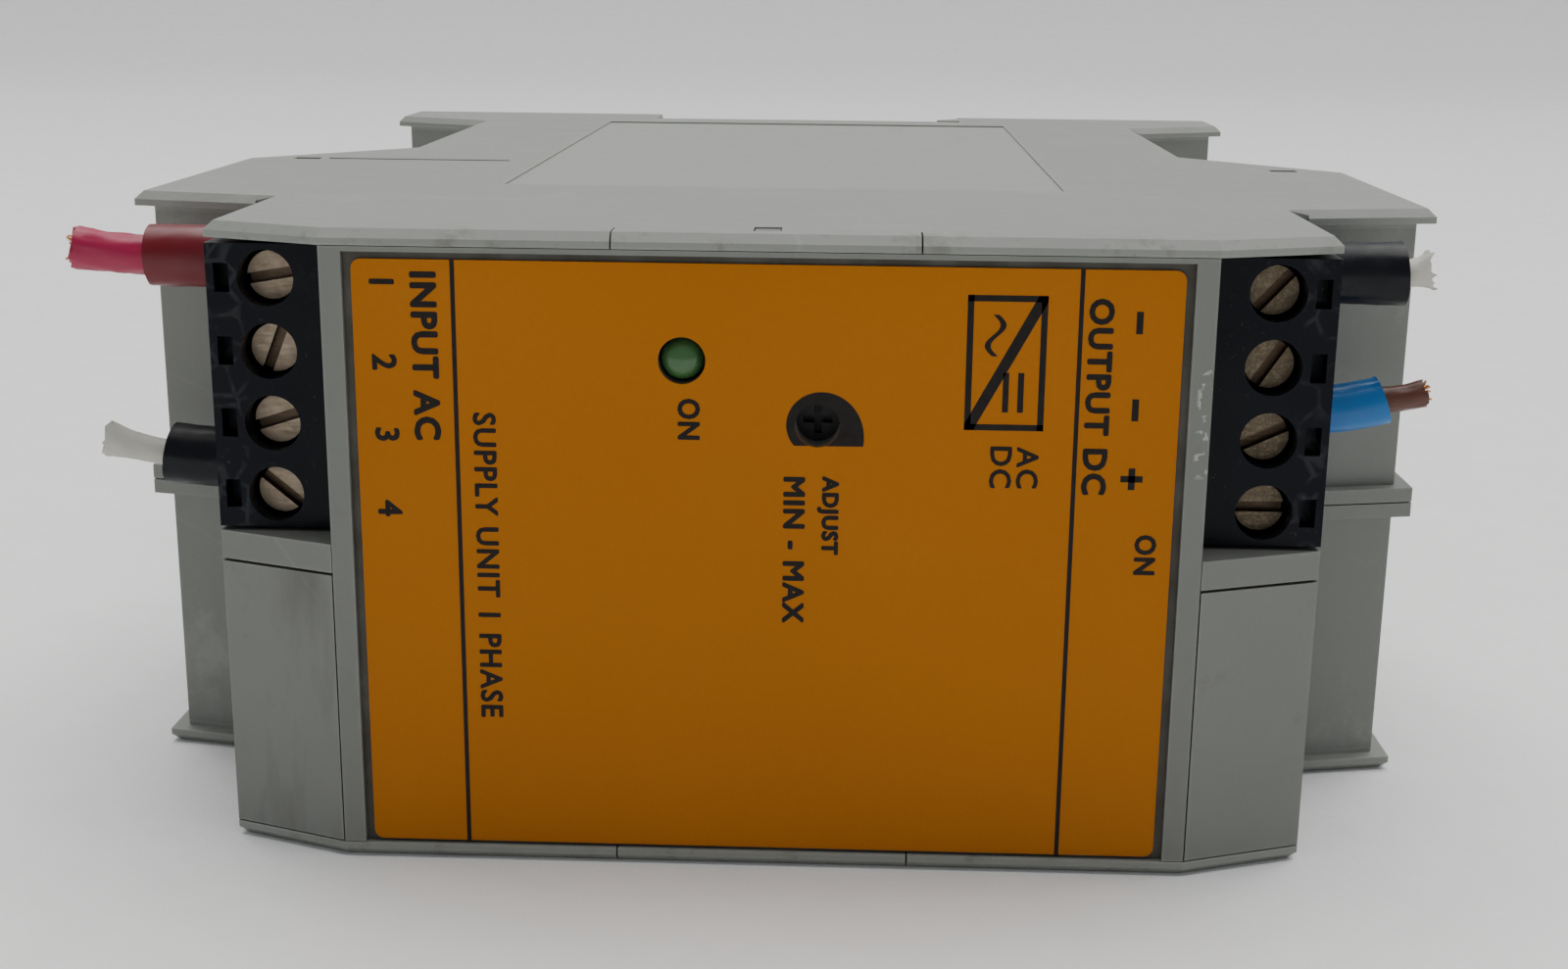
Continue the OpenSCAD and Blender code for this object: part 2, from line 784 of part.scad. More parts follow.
// Ferrite frame round the bobbin: two E cores joined on the middle leg
module transformer_core() {
    color([0.22, 0.22, 0.24]) place() difference() {
        box([core_x - 13, core_y - 5.5, main_top + 2], [core_x + 11, core_y + 5.5, main_top + 2 + core_h]);
        for (s = [-1, 1]) box(
            [core_x - 1 + s * 6.5 - 3, core_y - 7, main_top + 7],
            [core_x - 1 + s * 6.5 + 3, core_y + 7, main_top + core_h - 3]
        );
    }
}

// Bobbin and winding on the middle leg of the core, with its pins
module transformer_winding() {
    x = core_x - 1;
    z0 = main_top + 7.2;
    z1 = main_top + core_h - 3.2;
    leg = 3.6;
    color([0.86, 0.78, 0.44]) place() {
        difference() {
            box([x - 9.3, core_y - 12, z0], [x + 9.3, core_y + 12, z1]);
            box([x - leg, core_y - 5.7, z0 - 1], [x + leg, core_y + 5.7, z1 + 1]);
        }
        for (s = [-1, 1], i = [-2:2]) rod_z(x + i * 3.6, core_y + s * 9, 0.9, main_top, z0 + eps);
    }
}

module output_capacitors() {
    color([0.20, 0.22, 0.26]) place() for (i = [0, 1])
        rod_z(main_hw - 6.6, main_y0 + 13.5 + i * 11.3, 10, main_top, main_top + 25);
}

// Toroid standing flat on the board
module output_inductor() {
    color([0.78, 0.42, 0.18]) place() translate([12, main_y0 + 61, main_top + 4])
        rotate_extrude() translate([6.5, 0]) circle(d = 8);
}

// Rail latch --------------------------------------------------------------------------------

module rail_latch() {
    y1 = latch_y0 + latch_t;
    window_half = 2.9;
    color(grey) place() difference() {
        translate([0, 0, latch_z - latch_half]) linear_extrude(2 * latch_half) polygon([
            [-latch_out_x, latch_y0],
            [-latch_tip_x, latch_y0],
            [-latch_tip_x, latch_y0 + 1],
            [-latch_tip_x - 3, y1],
            [-latch_out_x, y1],
        ]);
        box(
            [-stop_x - stop_t - slide_gap, latch_y0 - 1, latch_z - window_half],
            [-stop_x + spring_l, y1 + 1, latch_z + window_half]
        );
        box([-latch_out_x + 1.6, y1 - 1.2, latch_z - 3], [-latch_out_x + 3.2, y1 + 1, latch_z + 3]);
    }
}

// Coil between the stop and the inner end of the latch's window
module latch_spring() {
    steps = 14;
    sides = 8;
    n = spring_turns * steps;
    r = spring_wire / 2;
    length = spring_l - 2 * r - 0.1;
    centre = [-stop_x + r + 0.05, latch_y0 + latch_t / 2, latch_z];
    points = [
        for (i = [0:n], j = [0:sides - 1])
            let (a = 360 * i / steps, b = 360 * j / sides, q = spring_r + r * cos(b))
            [length * i / n + r * sin(b), q * cos(a), q * sin(a)]
    ];
    faces = concat(
        [[for (j = [0:sides - 1]) j]],
        [[for (j = [sides - 1:-1:0]) n * sides + j]],
        [
            for (i = [0:n - 1], j = [0:sides - 1])
                let (k = (j + 1) % sides)
                [i * sides + j, (i + 1) * sides + j, (i + 1) * sides + k, i * sides + k]
        ]
    );
    color([0.60, 0.61, 0.63]) place() translate(centre) polyhedron(points, faces);
}

// One call for each node ----------------------------------------------------------------------

housing_lower();
housing_upper();
front_cover();
cover_dividers();
front_label();
status_led();
adjust_pot();
adjust_rotor();

plug(-1);  // input_plug
contacts(-1);  // input_contacts
header(-1);  // input_header
header_pins(-1);  // input_header_pins
filler(-1);  // input_filler
plug(1);  // output_plug
contacts(1);  // output_contacts
header(1);  // output_header
header_pins(1);  // output_header_pins
filler(1);  // output_filler

for (pole = [1:4]) {
    terminal_screw(-1, pole);
    clamp(-1, pole);
    terminal_screw(1, pole);
    clamp(1, pole);
}

wire_sleeve(-1, 1, 4.6, 3.1, front_hw + 7.3, "red");  // input_wire_1_sleeve
wire_core(-1, 1, 3, front_hw + 12.9, "hotpink");  // input_wire_1_core
wire_sleeve(-1, 4, 4.6, 2.1, front_hw + 6.8, "black");  // input_wire_4_sleeve
wire_core(-1, 4, 2, front_hw + 11.6, "white");  // input_wire_4_core
wire_sleeve(1, 1, 4.5, 2.1, front_hw + 6.8, "black");  // output_wire_1_sleeve
wire_core(1, 1, 2, front_hw + 8.8, "white");  // output_wire_1_core
wire_sleeve(1, 3, 3.6, 1.7, front_hw + 6.2, "blue");  // output_wire_3_sleeve
wire_core(1, 3, 1.6, front_hw + 9.1, "saddlebrown");  // output_wire_3_core

main_board();
control_board();
front_board();
fuse();
line_choke();
x_capacitor();
bridge_rectifier();
bulk_capacitor();
primary_heatsink();
primary_transistor();
transformer_core();
transformer_winding();
secondary_heatsink();
output_rectifier();
output_capacitors();
output_inductor();
rail_latch();
latch_spring();
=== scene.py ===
"""Looks of the DIN rail power supply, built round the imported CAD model.

Everything is in metres in the row frame: +X is the output end, +Y points to the rail, +Z is up with
the device lying on its side, and the origin is the middle of the rail seat.
"""
import json
import math
import random

import bmesh
import bpy
from mathutils import Matrix, Vector
from mathutils import noise as mnoise


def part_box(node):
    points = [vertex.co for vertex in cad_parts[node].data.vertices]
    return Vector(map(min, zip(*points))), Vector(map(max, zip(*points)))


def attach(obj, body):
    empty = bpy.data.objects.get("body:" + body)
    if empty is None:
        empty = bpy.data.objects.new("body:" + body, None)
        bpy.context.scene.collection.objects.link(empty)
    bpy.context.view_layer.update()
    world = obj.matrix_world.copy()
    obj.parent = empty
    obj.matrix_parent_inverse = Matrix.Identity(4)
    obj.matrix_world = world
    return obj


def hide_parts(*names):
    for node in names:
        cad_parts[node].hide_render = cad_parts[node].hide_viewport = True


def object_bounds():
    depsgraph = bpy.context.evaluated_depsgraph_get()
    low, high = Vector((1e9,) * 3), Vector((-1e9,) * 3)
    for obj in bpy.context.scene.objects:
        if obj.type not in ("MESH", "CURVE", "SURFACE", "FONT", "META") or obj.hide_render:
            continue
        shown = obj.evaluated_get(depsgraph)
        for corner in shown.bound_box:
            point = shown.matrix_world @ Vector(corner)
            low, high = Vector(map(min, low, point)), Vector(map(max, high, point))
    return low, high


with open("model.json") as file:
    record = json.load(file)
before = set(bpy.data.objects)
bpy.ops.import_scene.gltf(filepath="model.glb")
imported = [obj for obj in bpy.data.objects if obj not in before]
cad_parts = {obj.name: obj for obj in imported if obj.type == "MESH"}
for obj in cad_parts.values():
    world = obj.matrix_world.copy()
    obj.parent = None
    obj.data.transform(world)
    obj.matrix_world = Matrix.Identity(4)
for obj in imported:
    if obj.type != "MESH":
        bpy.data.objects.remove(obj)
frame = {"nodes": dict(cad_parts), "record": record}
CAD_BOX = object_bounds()
NODES = frame["nodes"]
MM = 0.001


# --- Shader helpers ------------------------------------------------------------------------------

class Shader:
    """A node material. Sockets are linked where a value is a socket, and set where it is a number."""

    def __init__(self, name):
        self.material = bpy.data.materials.new(name)
        self.material.use_nodes = True
        self.tree = self.material.node_tree
        self.tree.nodes.clear()
        self.out = self.add("OutputMaterial")
        self.bsdf = self.add("BsdfPrincipled")
        self.tree.links.new(self.bsdf.outputs[0], self.out.inputs[0])
        self.where = self.add("TexCoord").outputs["Object"]

    def add(self, kind, inputs=None, **props):
        n = self.tree.nodes.new("ShaderNode" + kind)
        for key, value in props.items():
            setattr(n, key, value)
        for key, value in (inputs or {}).items():
            self.put(n, key, value)
        return n

    def put(self, n, key, value):
        if isinstance(value, bpy.types.NodeSocket):
            self.tree.links.new(value, n.inputs[key])
        else:
            n.inputs[key].default_value = value

    def set(self, **inputs):
        for key, value in inputs.items():
            self.put(self.bsdf, key.replace("_", " "), value)

    def noise(self, scale, detail=3.0, rough=0.5, stretch=None, twist=(0, 0, 0), distortion=0.0):
        vec = self.where
        if stretch:
            vec = self.add("Mapping", {"Vector": vec, "Scale": stretch, "Rotation": twist}).outputs[0]
        n = self.add("TexNoise", {"Vector": vec, "Scale": scale, "Detail": detail,
                                  "Roughness": rough, "Distortion": distortion})
        return n.outputs["Fac"]

    def cells(self, scale, feature="F1"):
        return self.add("TexVoronoi", {"Vector": self.where, "Scale": scale}, feature=feature).outputs[0]

    def band(self, value, low, high, to_low=0.0, to_high=1.0):
        """Maps low..high of value to to_low..to_high, clamped."""
        n = self.add("MapRange", {"Value": value, "From Min": low, "From Max": high,
                                  "To Min": to_low, "To Max": to_high})
        return n.outputs[0]

    def times(self, a, b):
        return self.add("Math", {0: a, 1: b}, operation="MULTIPLY").outputs[0]

    def along(self, axis):
        """The place along a row axis, in metres."""
        return self.add("SeparateXYZ", {0: self.where}).outputs[axis]

    def near(self, axis, centre, half, soft):
        """1 within half of centre along an axis, falling to 0 over the soft distance."""
        away = self.add("Math", {0: self.along(axis), 1: centre}, operation="SUBTRACT").outputs[0]
        away = self.add("Math", {0: away}, operation="ABSOLUTE").outputs[0]
        return self.band(away, half, half + soft, 1.0, 0.0)

    def plus(self, a, b):
        return self.add("Math", {0: a, 1: b}, operation="ADD").outputs[0]

    def mix(self, fac, a, b):
        n = self.add("Mix", {0: fac}, data_type="RGBA")
        for index, value in ((6, a), (7, b)):
            if isinstance(value, bpy.types.NodeSocket):
                self.tree.links.new(value, n.inputs[index])
            else:
                n.inputs[index].default_value = (*value[:3], 1)
        return n.outputs[2]

    def edges(self, radius, low=0.02, high=0.25):
        """1 along edges and 0 on flat faces, from how far a rounded normal leans off the true one."""
        soft = self.add("Bevel", {"Radius": radius}, samples=6).outputs[0]
        true = self.add("NewGeometry").outputs["Normal"]
        dot = self.add("VectorMath", {0: soft, 1: true}, operation="DOT_PRODUCT").outputs["Value"]
        lean = self.add("Math", {0: 1.0, 1: dot}, operation="SUBTRACT").outputs[0]
        return self.band(lean, low, high)

    def bump(self, height, strength, distance):
        n = self.add("Bump", {"Height": height, "Strength": strength, "Distance": distance})
        self.put(self.bsdf, "Normal", n.outputs[0])


def tint(color, k):
    return tuple(min(1.0, c * k) for c in color)


def plastic(name, color, rough=0.5, grain=2600, edge_highlight_and_wear=0.35, dirt=0.25, dirt_color=(0.10, 0.09, 0.07),
            mottle=0.06, scratch=0.25, specular=0.3, extra=None):
    """Moulded plastic: faint mottling, fine grain, pale edges that are partly painted highlight and partly
    rubbed, smudges and hairline scratches.
    """
    s = Shader(name)
    c = s.mix(s.noise(45, 4), tint(color, 1 - mottle), tint(color, 1 + mottle))
    c = s.mix(s.times(s.noise(1400, 2), 0.14), c, tint(color, 0.72))
    if dirt:
        spots = s.band(s.noise(210, 7, 0.72), 0.60, 0.74, 0.0, dirt)
        c = s.mix(spots, c, dirt_color)
    if scratch:
        thin = s.band(s.cells(34, "DISTANCE_TO_EDGE"), 0.0, 0.006, scratch, 0.0)
        c = s.mix(s.times(thin, s.band(s.noise(60, 3), 0.50, 0.62)), c, tint(color, 1.5))
    # Pale edges: a painted highlight along the moulded edges, broken up by noise, partly wear.
    if edge_highlight_and_wear:
        edge_highlight_and_wear_mask = s.times(s.edges(0.45 * MM), s.band(s.noise(350, 4), 0.30, 0.62))
        c = s.mix(s.times(edge_highlight_and_wear_mask, edge_highlight_and_wear), c, tint(color, 1.55))
    if extra:
        c = extra(s, c)
    s.set(Base_Color=c, Roughness=s.band(s.noise(160, 5), 0.25, 0.75, rough - 0.08, rough + 0.10))
    s.put(s.bsdf, "Specular IOR Level", specular)
    s.bump(s.plus(s.noise(grain, 2), s.times(s.noise(120, 2), 0.8)), 0.35, 0.03 * MM)
    return s.material


def metal(name, color, rough=0.35, stain=0.4, stain_color=(0.16, 0.11, 0.07), brush=None, extra=None):
    """Plated or drawn metal: fine grain or brush lines, with darker stains."""
    s = Shader(name)
    c = s.mix(s.noise(300, 4), tint(color, 0.86), tint(color, 1.10))
    spots = s.band(s.noise(900, 6, 0.7), 0.45, 0.70, 0.0, stain)
    c = s.mix(spots, c, stain_color)
    if extra:
        c = extra(s, c)
    lines = s.noise(900, 3, 0.6, brush or (1, 1, 1))
    s.set(Base_Color=c, Metallic=1.0, Roughness=s.band(lines, 0.3, 0.7, rough - 0.08, rough + 0.14))
    s.bump(lines, 0.25, 0.015 * MM)
    return s.material


def soft_plastic(name, color, rough=0.32, smear=0.25, smear_color=(0.5, 0.5, 0.5), glow=0.1, specular=0.4):
    """Cable insulation: glossy, slightly uneven, with dusty smears along it."""
    s = Shader(name)
    c = s.mix(s.noise(240, 3), tint(color, 0.80), tint(color, 1.12))
    dusty = s.band(s.noise(160, 6, 0.75, (0.4, 1, 1)), 0.55, 0.75, 0.0, smear)
    c = s.mix(dusty, c, smear_color)
    s.set(Base_Color=c, Roughness=s.band(s.noise(380, 5), 0.3, 0.7, rough - 0.08, rough + 0.18))
    s.put(s.bsdf, "Specular IOR Level", specular)
    s.put(s.bsdf, "Subsurface Weight", glow)
    s.put(s.bsdf, "Subsurface Radius", (0.6 * MM, 0.4 * MM, 0.4 * MM))
    s.bump(s.noise(900, 4), 0.25, 0.04 * MM)
    return s.material


# --- Materials -----------------------------------------------------------------------------------

def cover_marks(s, c):
    """Painted shade mixed with grime in the gap round the label, and pale chips in the border beside the
    output terminals.
    """
    # Painted shade in the gap round the label, mottled and given a brown grime tint.
    gap = s.times(s.near(1, -106.5 * MM, 0.08 * MM, 0.04 * MM), s.near(0, 0.0, 28.4 * MM, 0.1 * MM))
    c = s.mix(s.times(gap, s.band(s.noise(300, 4), 0.2, 0.6, 0.6, 0.95)), c, (0.050, 0.042, 0.030))
    place = s.times(s.near(0, 29.3 * MM, 0.35 * MM, 0.2 * MM), s.near(2, 10.3 * MM, 3.4 * MM, 0.5 * MM))
    place = s.times(place, s.band(s.along(1), -106.7 * MM, -106.4 * MM, 1.0, 0.0))
    return s.mix(s.times(place, s.band(s.noise(1300, 3), 0.56, 0.60, 0.0, 0.7)), c, (0.50, 0.51, 0.48))


def plate_marks(s, c):
    """The side-label fields are a little paler, the walls get painted shade so that the top plate reads
    lighter than them, and the top plate has rubbed patches behind its edge.
    """
    field = s.times(s.near(0, 0.0, 22.5 * MM, 0.3 * MM), s.near(1, -41.5 * MM, 35.5 * MM, 0.3 * MM))
    c = s.mix(s.times(field, 0.55), c, tint(GREY, 1.22))
    # Painted shade: every face between the top and bottom plates is pulled halfway to a darker grey, so the
    # walls read darker than the top.
    c = s.mix(s.near(2, 0.0, 20.9 * MM, 0.1 * MM), c, s.mix(0.5, c, tint(GREY, 0.62)))
    patches = s.band(s.noise(60, 6, 0.75, (1, 3, 1)), 0.55, 0.68)
    rubbed = s.times(s.near(1, -86 * MM, 4 * MM, 12 * MM), patches)
    c = s.mix(s.times(rubbed, 0.35), c, tint(GREY, 1.35))
    grime = s.band(s.noise(260, 6, 0.75), 0.54, 0.64)
    front = s.times(s.band(s.along(1), -105 * MM, -101 * MM, 1.0, 0.0), grime)
    return s.mix(s.times(front, 0.35), c, (0.10, 0.09, 0.065))


def filler_smears(s, c):
    """Dark slanting smears and thin upright scratches, mostly on the input side."""
    side = s.band(s.along(0), -31 * MM, -28 * MM, 1.0, 0.25)
    streaks = s.noise(70, 5, 0.65, (1.6, 1, 0.35), (0, 0.5, 0))
    c = s.mix(s.times(side, s.band(streaks, 0.54, 0.70, 0.0, 0.55)), c, (0.085, 0.082, 0.070))
    thin = s.noise(330, 2, 0.5, (1, 1, 0.06))
    return s.mix(s.times(side, s.band(thin, 0.70, 0.74, 0.0, 0.6)), c, (0.06, 0.06, 0.05))


def terminal_scuffs(s, c):
    """Pale broken rubs round the test pockets, and grit that lies along the screw faces."""
    out = s.add("Math", {0: s.along(0)}, operation="ABSOLUTE").outputs[0]
    beside = s.band(out, 35.9 * MM, 36.5 * MM)
    rubs = s.band(s.cells(520, "DISTANCE_TO_EDGE"), 0.03, 0.09, 1.0, 0.0)
    broken = s.band(s.noise(420, 4), 0.46, 0.58, 0.0, 0.75)
    c = s.mix(s.times(s.times(rubs, broken), beside), c, (0.026, 0.029, 0.034))
    grit = s.band(s.noise(2300, 5, 0.7), 0.62, 0.68, 0.0, 0.7)
    c = s.mix(s.times(grit, s.band(s.noise(140, 3), 0.42, 0.60)), c, (0.060, 0.056, 0.046))
    return c


def old_screw(s, c):
    """Bronze tarnish at the output end, pale specks where the plating is left, and painted shade on the
    slot floors.
    """
    c = s.mix(s.band(s.along(0), -1 * MM, 1 * MM, 0.0, 0.78), c, (0.070, 0.054, 0.034))
    c = s.mix(s.band(s.noise(4200, 5, 0.75), 0.48, 0.66, 0.0, 0.45), c, (0.30, 0.255, 0.18))
    # Painted shade: everything behind the screw faces, the slot floors among it, turns dark brown.
    slot_floor_shade = s.band(s.along(1), -101.85 * MM, -101.65 * MM, 0.0, 0.85)
    return s.mix(slot_floor_shade, c, (0.075, 0.050, 0.035))


GREY = (0.262, 0.272, 0.250)
HOUSING = plastic("housing_plastic", GREY, rough=0.46, edge_highlight_and_wear=0.5, dirt=0.16, mottle=0.04, extra=plate_marks)
# Painted shade: the cover is a darker copy of the housing grey, standing in for the front taking less light
# than the top.
COVER = plastic("cover_plastic", tint(GREY, 0.72), rough=0.46, edge_highlight_and_wear=0.5, dirt=0.22, mottle=0.04,
                extra=cover_marks)
# Painted shade: the fillers face the front too and are a darker copy of the housing grey for the same
# reason.
FILLER = plastic("filler_plastic", tint(GREY, 0.745), rough=0.44, edge_highlight_and_wear=0.4, dirt=0.35, mottle=0.05,
                 extra=filler_smears)
TERMINAL = plastic("terminal_plastic", (0.0018, 0.0028, 0.0066), rough=0.36, edge_highlight_and_wear=0.9, dirt=0.30,
                   dirt_color=(0.030, 0.027, 0.022), mottle=0.3, scratch=0.0, specular=0.13,
                   extra=terminal_scuffs)
DARK = plastic("trimmer_plastic", (0.010, 0.016, 0.045), rough=0.45, edge_highlight_and_wear=0.2)
BLACK = plastic("epoxy_black", (0.012, 0.012, 0.013), rough=0.5, edge_highlight_and_wear=0.3)
FERRITE = plastic("ferrite_grey", (0.045, 0.045, 0.05), rough=0.6, grain=1800, edge_highlight_and_wear=0.5)
SCREW = metal("screw_metal", (0.29, 0.235, 0.18), rough=0.46, stain=0.65, brush=(1, 1, 6), extra=old_screw)
CLAMP = metal("clamp_metal", (0.55, 0.50, 0.40), rough=0.36, stain=0.3)
TINNED = metal("tinned_metal", (0.62, 0.61, 0.58), rough=0.32, stain=0.15)
COPPER = metal("copper_strand", (0.62, 0.30, 0.14), rough=0.35, stain=0.35, stain_color=(0.08, 0.04, 0.02))
ALUMINIUM = metal("heatsink_aluminium", (0.70, 0.71, 0.72), rough=0.34, stain=0.06, brush=(1, 1, 0.05))
STEEL = metal("spring_steel", (0.56, 0.57, 0.58), rough=0.28, stain=0.1)
RED = soft_plastic("sleeve_red", (0.145, 0.002, 0.009), smear=0.14, smear_color=(0.28, 0.08, 0.08))
SLEEVE_BLACK = soft_plastic("sleeve_black", (0.0035, 0.0045, 0.008), smear=0.12,
                            smear_color=(0.07, 0.07, 0.07), specular=0.22)
BLUE = soft_plastic("sleeve_blue", (0.001, 0.155, 0.47), smear=0.05)
PINK = soft_plastic("core_pink", (0.36, 0.007, 0.060), smear=0.45, smear_color=(0.17, 0.004, 0.020))
WHITE = soft_plastic("core_white", (0.60, 0.58, 0.52), rough=0.5, smear_color=(0.34, 0.31, 0.26), glow=0.0)
BROWN = soft_plastic("core_brown", (0.115, 0.038, 0.022), smear_color=(0.30, 0.12, 0.06))
CERAMIC = plastic("fuse_ceramic", (0.72, 0.70, 0.62), rough=0.2, edge_highlight_and_wear=0.0, scratch=0.0, dirt=0.1)
FILM = plastic("film_capacitor", (0.62, 0.38, 0.03), rough=0.3, edge_highlight_and_wear=0.2)
CAN = plastic("capacitor_sleeve", (0.02, 0.03, 0.09), rough=0.25, edge_highlight_and_wear=0.15)
TAPE = plastic("winding_tape", (0.62, 0.43, 0.06), rough=0.25, edge_highlight_and_wear=0.1)


def label_film():
    """Ochre printed film: fine orange-peel grain, a slightly darker handled area, tiny specks."""
    s = Shader("label_film")
    base = (0.450, 0.146, 0.0075)
    c = s.mix(s.noise(38, 4), tint(base, 0.90), tint(base, 1.08))
    c = s.mix(s.times(s.noise(2600, 3, 0.6), 0.30), c, tint(base, 0.72))
    specks = s.band(s.noise(420, 8, 0.78), 0.70, 0.78, 0.0, 0.5)
    c = s.mix(specks, c, (0.16, 0.07, 0.02))
    s.set(Base_Color=c, Roughness=s.band(s.noise(90, 4), 0.3, 0.7, 0.42, 0.52))
    s.put(s.bsdf, "Specular IOR Level", 0.16)
    s.bump(s.noise(3200, 3, 0.6), 0.45, 0.025 * MM)
    return s.material


def print_ink():
    s = Shader("print_ink")
    c = s.mix(s.noise(1500, 4), (0.007, 0.006, 0.006), (0.020, 0.016, 0.013))
    s.set(Base_Color=c, Roughness=s.band(s.noise(700, 3), 0.3, 0.7, 0.45, 0.55))
    s.put(s.bsdf, "Specular IOR Level", 0.16)
    s.bump(s.noise(3000, 2), 0.2, 0.01 * MM)
    return s.material


def lamp_lens():
    """Dark green tinted lens, unlit."""
    s = Shader("lamp_lens")
    c = s.mix(s.noise(900, 3), (0.032, 0.098, 0.030), (0.052, 0.145, 0.048))
    s.set(Base_Color=c, Roughness=s.band(s.noise(1500, 3), 0.3, 0.7, 0.16, 0.30))
    s.put(s.bsdf, "Subsurface Weight", 0.3)
    s.put(s.bsdf, "Subsurface Radius", (0.5 * MM, 1.2 * MM, 0.5 * MM))
    s.bump(s.noise(1200, 3), 0.15, 0.02 * MM)
    return s.material


def circuit_board():
    """Green solder mask over tracks that run in two directions."""
    s = Shader("circuit_board")
    tracks = s.band(s.cells(260, "DISTANCE_TO_EDGE"), 0.03, 0.06)
    c = s.mix(tracks, (0.02, 0.20, 0.08), (0.012, 0.105, 0.045))
    c = s.mix(s.times(s.noise(900, 3), 0.3), c, (0.01, 0.06, 0.03))
    s.set(Base_Color=c, Roughness=s.band(s.noise(600, 3), 0.3, 0.7, 0.22, 0.34))
    s.bump(tracks, 0.3, 0.03 * MM)
    return s.material


def winding():
    """Enamelled copper wire wound close, seen as fine ridges."""
    s = Shader("enamelled_winding")
    ridges = s.add("TexWave", {"Vector": s.where, "Scale": 260.0, "Distortion": 0.4}).outputs["Fac"]
    c = s.mix(ridges, (0.16, 0.05, 0.015), (0.50, 0.20, 0.06))
    c = s.mix(s.times(s.noise(500, 4), 0.3), c, (0.25, 0.08, 0.02))
    s.set(Base_Color=c, Roughness=s.band(s.noise(800, 2), 0.3, 0.7, 0.2, 0.32))
    s.bump(ridges, 0.6, 0.15 * MM)
    return s.material


def floor_foam():
    """Pale, faintly mottled bench surface."""
    s = Shader("floor_pale")
    c = s.mix(s.noise(160, 5, 0.6), (0.83, 0.84, 0.83), (0.93, 0.94, 0.93))
    s.set(Base_Color=c, Roughness=0.6)
    s.bump(s.noise(420, 5, 0.65), 0.35, 0.5 * MM)
    return s.material


LABEL = label_film()
INK = print_ink()
LENS = lamp_lens()
BOARD = circuit_board()
WINDING = winding()
FLOOR = floor_foam()

BY_SLOT = {
    "housing_plastic": HOUSING, "label_plate": LABEL, "lamp_lens": LENS, "trimmer_body": DARK,
    "trimmer_rotor": BLACK, "terminal_plastic": TERMINAL, "contact_metal": TINNED,
    "clamp_metal": CLAMP, "screw_metal": SCREW, "sleeve_red": RED, "sleeve_black": SLEEVE_BLACK,
    "sleeve_blue": BLUE, "core_pink": PINK, "core_white": WHITE, "core_brown": BROWN,
    "circuit_board": BOARD, "fuse_ceramic": CERAMIC, "copper_winding": WINDING,
    "film_capacitor": FILM, "capacitor_sleeve": CAN, "heatsink_aluminium": ALUMINIUM,
    "semiconductor": BLACK, "ferrite": FERRITE, "winding_tape": TAPE, "spring_steel": STEEL,
}
SLOT_OF = {p["node"]: p["material_slot"] for p in frame["record"]["subparts"]}
for name, obj in NODES.items():
    obj.data.materials.clear()
    obj.data.materials.append(BY_SLOT[SLOT_OF[name]])
for name in ("input_filler", "output_filler"):
    NODES[name].data.materials[0] = FILLER
NODES["front_cover"].data.materials[0] = COVER
NODES["cover_dividers"].data.materials[0] = COVER


def soften(name, width, segments=2, angle=30):
    """Rounds a CAD node's moulded edges. Its own mesh stays as it is: this is two modifiers."""
    obj = NODES[name]
    flat = obj.modifiers.new("merge_flats", "DECIMATE")
    flat.decimate_type = "DISSOLVE"
    flat.angle_limit = math.radians(1)
    round_off = obj.modifiers.new("round_edges", "BEVEL")
    round_off.width = width
    round_off.segments = segments
    round_off.limit_method = "ANGLE"
    round_off.angle_limit = math.radians(angle)
    round_off.harden_normals = True


SHELL_NODES = ("housing_lower", "housing_upper", "front_cover", "cover_dividers", "input_filler",
               "output_filler")
for name in SHELL_NODES:
    soften(name, 0.12 * MM)
for name in ("input_plug", "output_plug"):
    soften(name, 0.10 * MM)
for name in NODES:
    if "_screw_" in name:
        soften(name, 0.12 * MM, 3)
soften("front_label", 0.05 * MM)
soften("rail_latch", 0.2 * MM)


# --- Mesh helpers --------------------------------------------------------------------------------

def new_piece(name, bm, material, body, replaces=()):
    """Turns a bmesh into a piece that rides on a body."""
    mesh = bpy.data.meshes.new(name)
    bmesh.ops.recalc_face_normals(bm, faces=bm.faces)
    bm.to_mesh(mesh)
    bm.free()
    mesh.materials.append(material)
    obj = bpy.data.objects.new(name, mesh)
    bpy.context.scene.collection.objects.link(obj)
    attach(obj, body)
    if replaces:
        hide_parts(*replaces)
    return obj


def smooth(obj, angle=40):
    for poly in obj.data.polygons:
        poly.use_smooth = True
    mod = obj.modifiers.new("edge_split", "EDGE_SPLIT")
    mod.split_angle = math.radians(angle)
    return obj


# --- Print on the label --------------------------------------------------------------------------

PRINT_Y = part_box("front_label")[0].y
INK_T = 0.015 * MM
HALF_WIDTH = 22.5
PITCH = 5.08


def on_label(x, z, lift=0.0):
    """A point of the label, from x across and z up from the resting side, in mm."""
    return Vector((x * MM, PRINT_Y - lift, (z - HALF_WIDTH) * MM))


def add_outline(bm, points):
    """A flat inked shape, given by its outline in label x and z."""
    front = [bm.verts.new(on_label(x, z, INK_T)) for x, z in points]
    back = [bm.verts.new(on_label(x, z)) for x, z in points]
    bm.faces.new(front)
    n = len(points)
    for i in range(n):
        bm.faces.new((front[i], front[(i + 1) % n], back[(i + 1) % n], back[i]))


def add_bar(bm, x0, z0, x1, z1):
    add_outline(bm, [(x0, z0), (x1, z0), (x1, z1), (x0, z1)])


